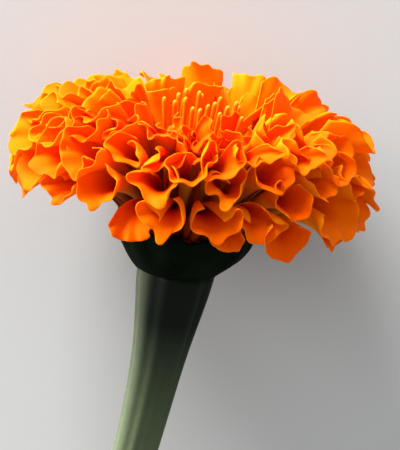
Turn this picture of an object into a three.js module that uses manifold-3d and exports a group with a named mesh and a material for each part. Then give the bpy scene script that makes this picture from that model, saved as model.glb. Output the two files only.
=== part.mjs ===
// A cut marigold flower of the large double kind, laid on its side: a ridged stem that widens into the
// receptacle, one cup of fused green bracts, and a dome of ruffled trumpet-shaped ray florets round a
// tuft of upright disc florets.
//
// The flower is built upright, with its axis on +Z and the equator of its head at z = 0. The finished
// group is then laid down: the head leads towards -Y with its face tipped up, the stem trails towards
// +Y, and both rest on z = 0. Millimetres throughout.

import * as THREE from "three";
import { mergeVertices } from "three/addons/utils/BufferGeometryUtils.js";
import Module from "manifold-3d";

const wasm = await Module();
wasm.setup();

const { degToRad, euclideanModulo, lerp, smoothstep } = THREE.MathUtils;

// How it lies.
const AXIS_TILT = degToRad(15); // the head's axis above the surface
// Middle of the equator, measured from the middle of the footprint.
const HEAD_CENTRE = new THREE.Vector3(0.11, -32.52, 29);
const PRESS_SOFTNESS = 1.2; // the petals underneath flatten over about this height
const PRESS_DEPTH = 0.13; // against a plane this far under the surface, so that they end up on it

// Florets.
const RAY_COUNT = 118; // every ray floret of the head
const INNER_COUNT = 61; // of those, the ones on top of the dome, which share one node
const DISC_COUNT = 19;
const GOLDEN_ANGLE = Math.PI * (3 - Math.sqrt(5));

// The dome on which the mouths of the ray florets lie.
const DOME_RADIUS = 31.4;
const DOME_HEIGHT = 17.4;
const SKIRT_DEPTH = 6;
const DOME_SQUARENESS = 3; // exponent of the superellipse; 2 is round
const DIMPLE_DEPTH = 7; // of the hollow in its middle
const DIMPLE_RADIUS = 12;
const HEAD_LEAN = 0.052; // rise of the dome per millimetre towards +X
const SKIRT_RISE = 3.6; // how much higher the skirt's mouths lie in the sector where it hangs least
const SKIRT_RISE_AZIMUTH = degToRad(-138); // middle of that sector
const SKIRT_RISE_SPREAD = degToRad(24);
const SKIRT_RISE_FROM = degToRad(45); // polar angle at which the rise sets in
const DOME_FIRST = degToRad(14); // polar angle of the innermost mouth
const DOME_LAST = degToRad(95); // and of the outermost
const SPACING_RATIO = 2.1; // the outermost mouths stand this many times as far apart as the innermost
const DOME_STEPS = 120; // steps in which the dome's area is added up

// Mouths that their neighbours push aside: floret number, then how far round the head and how far down.
const PUSHED_ASIDE = new Map([
  [2, [0, 2.4]],
  [7, [0, 2]],
  [9, [0, 1.2]],
  [14, [0, 0.6]],
  [15, [0, 2.2]],
  [16, [0, -1.4]],
  [19, [-0.6, -0.8]],
  [21, [0, -1.5]],
  [22, [0, 1.2]],
  [23, [0, 2.4]],
  [30, [0, 1.2]],
  [32, [0, 0.6]],
  [35, [0, 1.2]],
  [36, [0, 2]],
  [45, [0, -0.8]],
  [51, [0, 1]],
  [53, [0.6, -1.4]],
  [55, [0, -1.5]],
  [58, [0, -1.2]],
  [70, [1.6, -0.9]],
  [78, [-1.8, -1.2]],
  [83, [3.4, -0.3]],
  [91, [3.2, 2.6]],
  [96, [-0.8, 0.4]],
  [99, [0.8, 0.6]],
  [104, [2.4, -0.4]],
  [107, [-4.2, 2.6]],
  [109, [-1, 0.6]],
  [112, [3, 1.6]],
  [115, [-2.4, 0.4]],
  [117, [1.5, -0.8]],
]);

// The receptacle, which carries the florets inside the cup.
const RECEPTACLE_RADIUS = 10.2;
const RECEPTACLE_RIM_Z = -8;
const RECEPTACLE_CROWN = 1.2; // how much higher its middle stands
const RECEPTACLE_UNDERSIDE_Z = -9.4;
const FOOT_DEPTH = 0.6; // the florets' middle lines start this deep in it
const FOOT_CLEARANCE = 0.5; // and the outer florets this far above its crown
const CLAW_RISE_Z = 2.2; // the florets rise to about here before they turn outwards

// Ray floret, as a trumpet.
const CLAW_RADIUS = 0.8;
const CLAW_SHARE = 0.35; // share of the length up to which the claw stays slim
const BELL_SHARE = 0.72; // and at which it opens into the mouth
const PETAL_WALL = 0.55;
const RUFFLE = 0.7; // height of the waves in the mouth's edge
const RUFFLE_PINCH = 0.14; // how far the edge draws in between two waves, as a share of its radius
const GAP = 0.3; // between pieces that would touch

// Disc floret, a slim tube.
const DISC_RADIUS = 6; // of the tuft
const DISC_TUBE_RADIUS = 0.75;
const DISC_TIP_Z = 16;

// Stem: distance below the equator, then radius there. The first rows lie inside the cup.
const STEM_PROFILE = [
  [9.7, 10.2],
  [10.2, 10.1],
  [11.9, 9.3],
  [13.6, 7.9],
  [14.8, 6.5],
  [15.9, 6.2],
  [16.2, 7.05],
  [20, 6.5],
  [23.7, 5.95],
  [27.5, 5.35],
  [31, 4.9],
  [35.5, 4.55],
  [40.5, 4.3],
  [49.5, 3.95],
  [68, 3.7],
  [90, 3.6],
];
const STEM_BEND_START = 16.2;
const STEM_SIDE_BEND = 6.5; // how far the cut end stands to the side of the axis
const STEM_RIDGES = 10;
const STEM_RIDGE_DEPTH = 0.045; // as a share of the radius

// Cup of fused bracts: radius, then z, up the outside.
const CUP_PROFILE = [
  [7.5, -15.8],
  [9.1, -14.2],
  [10.9, -11.9],
  [12, -9.9],
  [12.2, -8.6],
  [12.3, -7.5],
];
const CUP_WALL = 0.9;
const CUP_TEETH = 11;
const CUP_TOOTH_HEIGHT = 0.6;

// In the upright flower's frame this points away from the surface it will lie on.
const UPWARD = new THREE.Vector3(0, -Math.cos(AXIS_TILT), Math.sin(AXIS_TILT));

const materials = {
  petal: { color: 0xf26a05, roughness: 0.55, metalness: 0 },
  innerPetal: { color: 0xf57a0a, roughness: 0.55, metalness: 0 },
  cup: { color: 0x1c3410, roughness: 0.6, metalness: 0 },
  stem: { color: 0x5f7048, roughness: 0.65, metalness: 0 },
};

// ---- Shared shapes -----------------------------------------------------------------------------

function namedMesh(name, geometry, finish) {
  const mesh = new THREE.Mesh(geometry, new THREE.MeshStandardMaterial(finish));
  mesh.name = name;
  return mesh;
}

function points2(pairs) {
  return pairs.map(([x, y]) => new THREE.Vector2(x, y));
}

// Turns a profile of [radius, height] pairs about the height axis and leaves one closed surface.
function lathe(pairs, sides) {
  const geometry = new THREE.LatheGeometry(points2(pairs), sides);
  geometry.deleteAttribute("normal");
  geometry.deleteAttribute("uv");
  return mergeVertices(geometry, 1e-4);
}

function moveVertices(geometry, move) {
  const position = geometry.getAttribute("position");
  const point = new THREE.Vector3();
  for (let i = 0; i < position.count; i++) {
    point.fromBufferAttribute(position, i);
    move(point);
    position.setXYZ(i, point.x, point.y, point.z);
  }
  return geometry;
}

// Petals that would reach below the surface flatten against it.
function press(point) {
  const height = HEAD_CENTRE.z + point.dot(UPWARD) + PRESS_DEPTH;
  const pressed = 0.5 * (height + Math.hypot(height, PRESS_SOFTNESS));
  return point.addScaledVector(UPWARD, pressed - height);
}

function solidOf(geometry) {
  return new wasm.Manifold(
    new wasm.Mesh({
      numProp: 3,
      vertProperties: geometry.getAttribute("position").array,
      triVerts: new Uint32Array(geometry.index.array),
    }),
  );
}

function geometryOf(solid) {
  const { vertProperties, triVerts } = solid.getMesh();
  return new THREE.BufferGeometry()
    .setAttribute("position", new THREE.BufferAttribute(vertProperties, 3))
    .setIndex(new THREE.BufferAttribute(triVerts, 1));
}

// ---- Where the florets stand -------------------------------------------------------------------

function superPower(value) {
  return Math.sign(value) * Math.abs(value) ** (2 / DOME_SQUARENESS);
}

// Radius and height on the dome at a polar angle from its top; past 90 degrees it is the skirt.
function domePoint(polar) {
  const height = Math.cos(polar) > 0 ? DOME_HEIGHT : SKIRT_DEPTH;
  const radius = DOME_RADIUS * superPower(Math.sin(polar));
  const dimple = DIMPLE_DEPTH * Math.exp(-((radius / DIMPLE_RADIUS) ** 2));
  return [radius, height * superPower(Math.cos(polar)) - dimple];
}

// Running sum, from the top of the dome to its edge, of the share of florets that it holds.
function domeShares() {
  const shares = [0];
  for (let step = 1; step <= DOME_STEPS; step++) {
    const [r0, z0] = domePoint(lerp(DOME_FIRST, DOME_LAST, (step - 1) / DOME_STEPS));
    const [r1, z1] = domePoint(lerp(DOME_FIRST, DOME_LAST, step / DOME_STEPS));
    const area = Math.PI * (r0 + r1) * Math.hypot(r1 - r0, z1 - z0);
    const spacing = lerp(1, SPACING_RATIO, (r0 + r1) / 2 / DOME_RADIUS);
    shares.push(shares.at(-1) + area / spacing ** 2);
  }
  return shares.map((share) => share / shares.at(-1));
}

const shares = domeShares();

// The polar angle inside which this fraction of the ray florets stand.
function polarAt(fraction) {
  const step = shares.findIndex((share) => share >= fraction);
  const within = (fraction - shares[step - 1]) / (shares[step] - shares[step - 1]);
  return lerp(DOME_FIRST, DOME_LAST, (step - 1 + within) / DOME_STEPS);
}

function receptacleZ(radius) {
  return RECEPTACLE_RIM_Z + RECEPTACLE_CROWN * (1 - (radius / RECEPTACLE_RADIUS) ** 2);
}

function skirtRise(polar, azimuth) {
  const aside = euclideanModulo(azimuth - SKIRT_RISE_AZIMUTH + Math.PI, 2 * Math.PI) - Math.PI;
  const share = smoothstep(polar, SKIRT_RISE_FROM, DOME_LAST);
  return SKIRT_RISE * share * Math.exp(-((aside / SKIRT_RISE_SPREAD) ** 2));
}

// The middle line of ray floret number index, counted outwards from the middle of the head.
function floretPath(index) {
  const fraction = (index + 0.5) / RAY_COUNT;
  const azimuth = index * GOLDEN_ANGLE;
  const footRadius = RECEPTACLE_RADIUS * lerp(0.35, 1, Math.sqrt(fraction)) - CLAW_RADIUS;
  const footZ = receptacleZ(footRadius) - FOOT_DEPTH;
  const polar = polarAt(fraction);
  const [mouthRadius, levelZ] = domePoint(polar);
  const mouthZ = levelZ + HEAD_LEAN * mouthRadius * Math.cos(azimuth) + skirtRise(polar, azimuth);
  const turnRadius = lerp(footRadius, mouthRadius, 0.35);
  const turnZ = Math.max((footZ + mouthZ) / 2, CLAW_RISE_Z);
  const outward = new THREE.Vector3(Math.cos(azimuth), Math.sin(azimuth), 0);
  const sideways = new THREE.Vector3(-outward.y, outward.x, 0);
  const at = (radius, z) => outward.clone().multiplyScalar(radius).setZ(z);
  const [roundHead, down] = PUSHED_ASIDE.get(index) ?? [0, 0];
  const curve = new THREE.QuadraticBezierCurve3(
    at(footRadius, footZ),
    at(turnRadius, turnZ),
    at(mouthRadius, mouthZ - down).addScaledVector(sideways, roundHead),
  );
  return { curve, sideways };
}

const paths = Array.from({ length: RAY_COUNT }, (_, index) => floretPath(index));

// Half the room that a floret has at a share t of its length, between it and its nearest neighbour.
function roomAt(index, t) {
  const here = paths[index].curve.getPoint(t);
  const distances = paths.map(({ curve }, other) =>
    other === index ? Infinity : here.distanceTo(curve.getPoint(t)),
  );
  return Math.min(...distances) / 2 - GAP / 2;
}

// ---- Florets -----------------------------------------------------------------------------------

// Bends a shape that stands on the height axis y, with y from 0 to 1, along a floret's middle line.
function bendAlong(geometry, { curve, sideways }) {
  return moveVertices(geometry, (point) => {
    const tangent = curve.getTangent(Math.min(point.y, 1));
    const inward = sideways.clone().cross(tangent);
    const { x, y, z } = point;
    point
      .copy(curve.getPoint(y))
      .addScaledVector(sideways, x)
      .addScaledVector(inward, z);
  });
}

// A claw that widens to a ruffled mouth with a dimple for its throat. Heights in its profile are shares
// of its length. An inner floret is rooted in the receptacle, and an outer one stands just clear of it.
function rayFloret(index, sides) {
  const path = paths[index];
  const rooted = index < INNER_COUNT;
  const mouth = roomAt(index, 1);
  const bell = Math.min(roomAt(index, BELL_SHARE), 0.62 * mouth);
  const claw = Math.min(roomAt(index, CLAW_SHARE), CLAW_RADIUS);
  const foot = Math.min(roomAt(index, 0), CLAW_RADIUS);
  const start = rooted ? 0 : (FOOT_DEPTH + FOOT_CLEARANCE) / path.curve.getLength();
  const profile = [
    [0, start],
    [foot, start],
    [claw, CLAW_SHARE],
    [bell, BELL_SHARE],
    [mouth, 1],
    [mouth - PETAL_WALL, 1],
    [0.5 * bell, 0.8],
    [0, 0.66],
  ];
  const trumpet = lathe(profile, sides);
  const wave = RUFFLE / path.curve.getLength();
  moveVertices(trumpet, (point) => {
    if (point.y < 1 - wave) return;
    const lobe = Math.cos((Math.atan2(point.x, point.z) * sides) / 2);
    const edge = 1 - (RUFFLE_PINCH * (1 - lobe)) / 2;
    point.set(point.x * edge, point.y + wave * lobe, point.z * edge);
  });
  return moveVertices(bendAlong(trumpet, path), press);
}

// A closed bud-like tube that stands on the receptacle and leans out a little.
function discFloret(index) {
  const share = Math.sqrt((index + 0.5) / DISC_COUNT);
  const azimuth = index * GOLDEN_ANGLE;
  const outward = new THREE.Vector3(Math.cos(azimuth), Math.sin(azimuth), 0);
  const at = (radius, z) => outward.clone().multiplyScalar(radius).setZ(z);
  const footRadius = 0.4 * DISC_RADIUS * share;
  const tipZ = DISC_TIP_Z - (index % 3) * 0.6;
  const curve = new THREE.QuadraticBezierCurve3(
    at(footRadius, receptacleZ(footRadius) - FOOT_DEPTH),
    at(0.7 * DISC_RADIUS * share, 2),
    at(DISC_RADIUS * share, tipZ),
  );
  const r = DISC_TUBE_RADIUS;
  const tube = lathe([[0, 0], [0.5 * r, 0], [0.7 * r, 0.5], [r, 0.92], [0, 1]], 6);
  return bendAlong(tube, { curve, sideways: new THREE.Vector3(-outward.y, outward.x, 0) });
}

// The receptacle's crown with the inner florets grown on it.
function flowerCentre() {
  const crown = lathe(
    [
      [0, RECEPTACLE_UNDERSIDE_Z],
      [RECEPTACLE_RADIUS, RECEPTACLE_UNDERSIDE_Z],
      [RECEPTACLE_RADIUS, RECEPTACLE_RIM_Z],
      [0.6 * RECEPTACLE_RADIUS, receptacleZ(0.6 * RECEPTACLE_RADIUS)],
      [0, receptacleZ(0)],
    ],
    20,
  );
  crown.rotateX(Math.PI / 2);
  let solid = solidOf(crown);
  for (let index = 0; index < INNER_COUNT; index++) {
    solid = solid.add(solidOf(rayFloret(index, 6)));
  }
  for (let index = 0; index < DISC_COUNT; index++) {
    solid = solid.add(solidOf(discFloret(index)));
  }
  return geometryOf(solid);
}

// ---- Cup and stem ------------------------------------------------------------------------------

// A lathed shell with a toothed rim. Its inside is the outside moved in by the wall.
function involucre() {
  const inside = CUP_PROFILE.map(([radius, z], row) => [
    radius - CUP_WALL * (row === 0 ? 0.7 : 1),
    z,
  ]).reverse();
  const shell = lathe([...CUP_PROFILE, ...inside, CUP_PROFILE[0]], 2 * CUP_TEETH);
  const rimZ = CUP_PROFILE.at(-1)[1];
  moveVertices(shell, (point) => {
    if (point.y > rimZ - 0.01) {
      point.y += CUP_TOOTH_HEIGHT * Math.cos(Math.atan2(point.x, point.z) * CUP_TEETH);
    }
  });
  return shell.rotateX(Math.PI / 2);
}

// Cut end's height above the axis, so that it rests on the same surface as the head.
function stemLift() {
  const [reach, radius] = STEM_PROFILE.at(-1);
  return radius - (HEAD_CENTRE.z - reach * Math.sin(AXIS_TILT)) / Math.cos(AXIS_TILT);
}

function stem() {
  const [length] = STEM_PROFILE.at(-1);
  const side = STEM_PROFILE.map(([distance, radius]) => [radius, -distance]).reverse();
  const profile = [[0, -length], ...side, [0, side.at(-1)[1]]];
  const lift = stemLift();
  const rod = lathe(profile, 2 * STEM_RIDGES);
  moveVertices(rod, (point) => {
    const distance = -point.y;
    if (distance <= STEM_BEND_START) return;
    const ridge = 1 - STEM_RIDGE_DEPTH * (1 - Math.cos(Math.atan2(point.x, point.z) * STEM_RIDGES));
    const along = (distance - STEM_BEND_START) / (length - STEM_BEND_START);
    point.x = point.x * ridge - STEM_SIDE_BEND * along ** 2;
    point.z = point.z * ridge + lift * along ** 2;
  });
  return rod.rotateX(Math.PI / 2);
}

// ---- The flower --------------------------------------------------------------------------------

const flower = new THREE.Group();
flower.add(namedMesh("stem", stem(), materials.stem));
flower.add(namedMesh("involucre", involucre(), materials.cup));
flower.add(namedMesh("flower_centre", flowerCentre(), materials.innerPetal));
for (let index = INNER_COUNT; index < RAY_COUNT; index++) {
  const number = String(index - INNER_COUNT + 1).padStart(2, "0");
  flower.add(namedMesh(`ray_floret_${number}`, rayFloret(index, 8), materials.petal));
}
flower.rotation.set(AXIS_TILT - Math.PI / 2, 0, Math.PI, "ZYX");
flower.position.copy(HEAD_CENTRE);

export default flower;
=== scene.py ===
"""A cut marigold flower that lies on its side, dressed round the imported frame.

The flower is drawn upright in millimetres, its axis on +Z and the equator of its head at z = 0. Each
finished mesh is then laid down and scaled to metres, so that every piece sits at the origin.
"""

import math

import bmesh
import bpy
import numpy as np
from mathutils import Matrix, Vector


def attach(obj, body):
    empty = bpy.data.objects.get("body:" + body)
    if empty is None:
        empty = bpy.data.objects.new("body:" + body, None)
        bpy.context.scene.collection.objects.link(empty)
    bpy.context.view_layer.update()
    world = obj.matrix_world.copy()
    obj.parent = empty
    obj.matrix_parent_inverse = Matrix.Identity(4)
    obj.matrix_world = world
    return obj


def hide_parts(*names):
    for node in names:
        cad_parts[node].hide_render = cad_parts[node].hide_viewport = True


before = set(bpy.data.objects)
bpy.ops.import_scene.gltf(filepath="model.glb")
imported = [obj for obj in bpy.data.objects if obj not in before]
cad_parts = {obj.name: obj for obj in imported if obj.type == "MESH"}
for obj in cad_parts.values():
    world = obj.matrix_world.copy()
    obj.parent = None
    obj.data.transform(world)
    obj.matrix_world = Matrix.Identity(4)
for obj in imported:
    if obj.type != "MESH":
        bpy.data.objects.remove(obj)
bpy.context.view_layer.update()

bl_info = {
    "name": "Marigold Flower",
    "version": (1, 0, 0),
    "blender": (4, 5, 0),
    "location": "3D View > Sidebar > Marigold",
    "description": "Builds a double marigold flower lying on its side, with its stage",
    "category": "Add Mesh",
}

MM = 0.001
MERGE_DISTANCE = 1e-6
TINY = 1e-9
ROOT = "root"
GOLDEN_ANGLE = math.pi * (3 - math.sqrt(5))

# ---- The frame's own dimensions, in millimetres ----

AXIS_TILT = math.radians(15)
HEAD_CENTRE = Vector((0.11, -32.52, 29))
PRESS_SOFTNESS = 1.2
PRESS_DEPTH = 0.13

RAY_COUNT = 118
INNER_COUNT = 61
DISC_COUNT = 19

DOME_RADIUS = 31.4
DOME_HEIGHT = 17.4
SKIRT_DEPTH = 6
DOME_SQUARENESS = 3
DIMPLE_DEPTH = 7
DIMPLE_RADIUS = 12
HEAD_LEAN = 0.052
SKIRT_RISE = 3.6
SKIRT_RISE_AZIMUTH = math.radians(-138)
SKIRT_RISE_SPREAD = math.radians(24)
SKIRT_RISE_FROM = math.radians(45)
DOME_FIRST = math.radians(14)
DOME_LAST = math.radians(95)
SPACING_RATIO = 2.1
DOME_STEPS = 120

# Mouths pushed aside by their neighbours: floret, then how far round the head and how far down.
PUSHED_ASIDE = {
    2: (0, 2.4), 7: (0, 2), 9: (0, 1.2), 14: (0, 0.6), 15: (0, 2.2), 16: (0, -1.4), 19: (-0.6, -0.8),
    21: (0, -1.5), 22: (0, 1.2), 23: (0, 2.4), 30: (0, 1.2), 32: (0, 0.6), 35: (0, 1.2), 36: (0, 2),
    45: (0, -0.8), 51: (0, 1), 53: (0.6, -1.4), 55: (0, -1.5), 58: (0, -1.2), 70: (1.6, -0.9),
    78: (-1.8, -1.2), 83: (3.4, -0.3), 91: (3.2, 2.6), 96: (-0.8, 0.4), 99: (0.8, 0.6), 104: (2.4, -0.4),
    107: (-4.2, 2.6), 109: (-1, 0.6), 112: (3, 1.6), 115: (-2.4, 0.4), 117: (1.5, -0.8),
}

RECEPTACLE_RADIUS = 10.2
RECEPTACLE_RIM_Z = -8
RECEPTACLE_CROWN = 1.2
FOOT_DEPTH = 0.6
CLAW_RADIUS = 0.8
CLAW_RISE_Z = 2.2
FOOT_SHARE = 0.35  # radius of the innermost foot, as a share of the outermost
TURN_SHARE = 0.35  # of the way from foot to mouth at which a floret's line turns

DISC_RADIUS = 6
DISC_TIP_Z = 16

STEM_PROFILE = (
    (9.7, 10.2), (10.2, 10.1), (11.9, 9.3), (13.6, 7.9), (14.8, 6.5), (15.9, 6.2),
    (16.2, 7.05), (20, 6.5), (23.7, 5.95), (27.5, 5.35), (31, 4.9), (35.5, 4.55), (40.5, 4.3),
    (49.5, 3.95), (68, 3.7), (90, 3.6),
)
INSIDE_ROWS = 6  # of those, the ones inside the cup
STEM_BEND_START = 16.2
STEM_SIDE_BEND = 6.5

CUP_PROFILE = ((7.5, -15.8), (9.1, -14.2), (10.9, -11.9), (12, -9.9), (12.2, -8.6), (12.3, -7.5))
CUP_TEETH = 11

UPWARD = np.array((0, -math.cos(AXIS_TILT), math.sin(AXIS_TILT)))
LAY_DOWN = (
    Matrix.Translation(HEAD_CENTRE)
    @ Matrix.Rotation(math.pi, 4, "Z")
    @ Matrix.Rotation(AXIS_TILT - math.pi / 2, 4, "X")
)

# ---- How a petal is drawn ----

PETAL_COLUMNS = 61  # points across a petal, an odd number
PETAL_ROWS = 20  # points along it
ROW_CROWDING = 1.3  # power by which the rows crowd towards the free edge
INNER_RINGS = 5  # pieces in which the inner florets are joined
FIRST_SEED = 4000
LINE_STEPS = 24  # in which a floret's middle line is measured

SLIT_TURN = 0.97 * math.pi  # round the tube, from its back to its slit
TURNED_AT = 10 / 11  # share of the bell by which it has its full turn
CURLED_AT = 20 / 23  # share of the bell by which its side edges are fully curled
SIDE_EDGE = 0.5  # share of the half width at which the side edges start
FRILL_POWER, RIPPLE_POWER = 4, 3  # how late along the bell they grow
WAVE_PARTS = ((0.62, 0.38), (1.0, 0.5), (1.5, 0.12))  # of an uneven wave: pace, then size

EDGE_THICKNESS = 0.5  # of the free edge, as a share of the petal's own
THIN_FROM = 0.9  # share of the length or half width from which a petal thins
THIN_SIDES = (0.5, 0.7)  # shares of the length over which the side edges begin to
RIM_FROM = 0.93  # share of the half width from which the rim's colour shows
RIM_SIDES = (0.62, 0.72)

# Measures of the innermost floret and of the outermost.
SIZE = (0.7, 1)
CLAW = (0.5, 0.62)  # radius of the tube
BELL_START = (0.45, 0.36)  # share of the length at which the tube opens
TILT = (2, 0)  # how far the lower lip stands behind the upper one
ROLL = (math.radians(130), math.radians(28))  # most turn about its own line
REACH = (0.3, -1.3)  # of the mouth past its place on the dome

REACH_ASIDE = 0.9  # how much further the left of the head reaches out than its middle
REACH_SPREAD = 0.9
FOLD = 1.6  # power by which the flutes deepen along the bell
CURLS = ((0.8, 1.9), (-0.3, 0.6))  # spreads of the turn of the two side edges
YOUNG_FACE = 0.9  # share of the face's colour in the throat of the innermost floret
PAINTED_LIGHT_TINT = (0.3, 0.82)  # painted light: of the petals in front, which lie in shade, and of those on the back of the head, where the light falls
TINT_SPREAD = 0.18
# Painted light: a level, and how far the back and the right of the head shift a petal's tint from it.
PAINTED_LIGHT_LEVEL, PAINTED_LIGHT_BACK, PAINTED_LIGHT_RIGHT = 0.68, 0.5, -0.08

# Spread of a floret's other measures, drawn in this order.
SPREAD = {
    "limb": (0.9, 1.1),  # half the width at the edge, here as a share of the set one
    "flare": (1.3, 1.8),  # power by which the sheet widens
    "turn": (1.35, 1.8),  # of the edge round the mouth, here in half turns
    "flute": (0.45, 0.85),  # depth of the deep folds, then their number
    "flutes": (2.8, 4.0),
    "frill": (0.7, 1.15),  # depth of the small folds, then their number
    "frills": (4.8, 6.6),
    "lobes": (4.0, 6.0),  # number of the lobes of the edge, then their depth
    "scallop": (0.005, 0.022),
    "corner": (0.0, 0.16),  # how far the corners are cut back
    "lip_back": (0.6, 1.05),  # how far the lower lip turns back, then the upper one
    "upper_back": (0.1, 0.6),
    "ripple": (0.4, 0.9),  # depth of the edge's waves along the floret
    "droop": (0.3, 1.3),
    "roll": (-1, 1),  # about its own line, here as a share of the most
    "over": (0.0, 1.0),  # length past the middle line's end
}

# Where a floret's characters and measures change: shares of the way out from the head's middle.
OUTER_SPAN = (1 / 3, 2 / 3)
BESIDE_SPAN = (0, 1 / 3)
YOUNG_SPAN = (0, 1 / 2)
THROAT_SPAN = (0, 5 / 11)
GROWTH_SPAN = (0, 5 / 9)
TILT_SPAN = (0, 2 / 3)
REACH_SPAN = (0.3, 0.8)
# The same round the head: shares of the way to that side.
FRONT_SPAN = (0, 5 / 7)
BACK_SPAN = (0, 5 / 8)
LEFT_SPAN = (0, 10 / 13)
RIGHT_SPAN = (3 / 16, 13 / 16)
BACK_CALM, RIGHT_CALM = 0.75, 0.8

# What a character multiplies a measure by where it is full.
FACTORS = {
    "front": {"limb": 1.08},
    "front_inside": {"roll": 0.45},
    "behind": {"roll": 0.25, "tilt": 0.3},
    "curly": {"limb": 0.9, "flute": 1.7, "flutes": 0.85},
    "calm": {"flute": 0.55, "frill": 0.4, "scallop": 0.6, "ripple": 0.4},
    "young": {"flute": 1.9, "frill": 1.4},
}
# What it adds to one there.
TERMS = {
    "front": {"turn": 0.2},
    "curly": {"turn": -0.2, "fold": -0.7},
    "calm": {"turn": -0.4, "corner": 0.14},
    "young": {"flare": -0.3},
}

# Florets that stand out from their neighbours, and the measures that they have instead.
SET_APART = {
    1: {"limb": 8.4, "roll": 2.4, "frill": 1.1, "flute": 1.2, "tilt": 0, "over": -3.0},
    6: {"limb": 8.0, "roll": -2.5, "frill": 1.1, "flute": 1.2, "tilt": 0, "over": -2.5},
    14: {"limb": 8.4, "roll": 2.9, "frill": 1.0, "flute": 1.1, "tilt": 0, "over": -2.0},
    19: {"limb": 8.0, "roll": 3.1, "frill": 0.9, "flute": 0.9, "tilt": 0, "sway": -2.0, "over": -0.8},
    27: {"corner": 0.45, "frill": 0.9, "tilt": 0},
    40: {"corner": 0.45, "frill": 0.9, "tilt": 0},
    41: {"limb": 9.0, "flute": 1.9, "flutes": 2.4, "fold": 0.8, "turn": 1.1 * math.pi, "frill": 0.5},
    45: {"limb": 9.4, "roll": -2.9, "frill": 1.0, "flute": 1.0, "tilt": 0, "corner": 0.12, "over": -2.8},
    49: {"limb": 9.8, "flute": 2.1, "flutes": 2.2, "fold": 0.8, "turn": 1.1 * math.pi, "frill": 0.4},
    51: {"corner": 0.35, "frill": 0.8},
    53: {"limb": 9.4, "roll": 2.8, "frill": 0.9, "flute": 0.9, "tilt": 0, "sway": -0.5, "over": -4.0},
    89: {"corner": 0.35, "frill": 0.7},
    94: {"turn": 1.2 * math.pi, "lip_back": 0.9, "droop": 0.3, "frill": 0.8},
    101: {"corner": 0.4, "frill": 0.6},
    107: {
        "limb": 10.9, "turn": 1.3 * math.pi, "lip_back": 0.7, "droop": 0.2, "roll": 0.1, "corner": 0.0,
        "flute": 0.3, "frill": 0.1, "ripple": 0.4, "scallop": 0.015,
    },
    109: {"limb": 9.0, "frill": 0.6},
    112: {"limb": 6.8, "frill": 1.1, "over": -1.0},
    114: {"limb": 9.6, "turn": 1.6 * math.pi, "frill": 0.3, "ripple": 0.3, "roll": -0.3, "corner": 0.2},
    115: {"corner": 0.35, "frill": 0.7},
    117: {"limb": 9.8, "turn": 1.35 * math.pi, "frill": 0.8},
}

# ---- How the disc florets, the cup and the stem are drawn ----

# Radius as a share of the tube's, then height as a share of the whole.
DISC_TUBE = (
    (0.35, 0), (0.55, 0.3), (0.8, 0.72), (1.0, 0.88), (1.12, 0.95), (0.95, 0.985), (0.45, 1),
    (0.2, 0.992),
)
DISC_SIDES = 15
DISC_LOBES = 5
DISC_LOBE_DEPTH = 0.09
DISC_LOBED_FROM = 3  # row of the tube
DISC_FOOT_RADIUS = 0.62 * DISC_RADIUS
DISC_LEAN = math.radians(11)
DISC_UNEVEN = 0.1
DISC_SEED = 5

CUP_WALL = 0.8
CUP_ROWS = 40
CUP_SIDES = 16 * CUP_TEETH
CUP_SMOOTHING = 15  # rows
CUP_BEND_INSIDE = 0.05  # by how much the inner wall stands higher
CUP_RIB_START = 0.4  # of the ribs at the foot, as a share of what they grow by
CUP_RADIUS = 12
TOOTH_ROWS = 5  # over which the teeth rise
TOOTH_HEIGHT = 1.3
TOOTH_SINK = 0.6
CUP_SLANT = 0.07  # of its foot, to the side
CUP_SLANT_HEIGHT = 4

STEM_ROWS = 90
STEM_SIDES = 120
STEM_SMOOTHING = 13  # rows
STEM_WAVES = ((9, 0.6), (14, 0.4))  # ridges round the stem, then their share of the depth
RIDGE_SWAY, RIDGE_BENDS = 0.5, 3  # of the first ridges along the stem
RIDGE_TWIST = 1.3  # of the others at the cut end
CUT_EDGE = ((0.86, 0.12), (0.97, 0.0))  # radius as a share of the stem's, then height
CUT_MIDDLE = (0.02, 0.15)
CUT_FACE = 0.9  # share of it that is pith
CUT_DEPTH = 0.14
RECEPTACLE_SHARES = (1.0, 0.6, 0.3, 0.002)  # rings of its top
LIT_SIDE = (0.5, 1)  # painted light on the side towards the lamps: where it begins and is full, from the stem's middle to its side

# ---- Stage, in metres ----

SURFACE_HALF = 3.0
SKY = {"Color": (0.93, 0.97, 1.0, 1), "Strength": 0.7}
LIGHTS = (  # name, place, power, width
    ("key", (1.5, -2.1, 0.75), 215.0, 1.6),
    ("side", (1.25, -0.35, 0.22), 24.0, 0.5),
)
CAMERA_DISTANCE = 0.5
VIEW_WIDTH = 0.07
VIEW_LEAN = math.radians(10.5)
HEAD_IN_VIEW = (-0.00125, 0.0075)  # right and up from the middle of the picture


def lerp(low, high, share):
    return low + (high - low) * share


def smooth(value):
    value = np.clip(value, 0, 1)
    return value * value * (3 - 2 * value)


def rise(value, start, end):
    """From 0 at the start to 1 at the end, smoothly."""
    return smooth((value - start) / (end - start))


# ---- Where the florets stand ----


def place_of(index):
    """A floret's share of the way out, by number, and how far right and back of the axis it points."""
    return (index + 0.5) / RAY_COUNT, math.cos(index * GOLDEN_ANGLE), math.sin(index * GOLDEN_ANGLE)


def super_power(value):
    return math.copysign(abs(value) ** (2 / DOME_SQUARENESS), value)


def dome_point(polar):
    """Radius and height on the dome at a polar angle from its top; past 90 degrees it is the skirt."""
    height = DOME_HEIGHT if math.cos(polar) > 0 else SKIRT_DEPTH
    radius = DOME_RADIUS * super_power(math.sin(polar))
    dimple = DIMPLE_DEPTH * math.exp(-((radius / DIMPLE_RADIUS) ** 2))
    return radius, height * super_power(math.cos(polar)) - dimple


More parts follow.
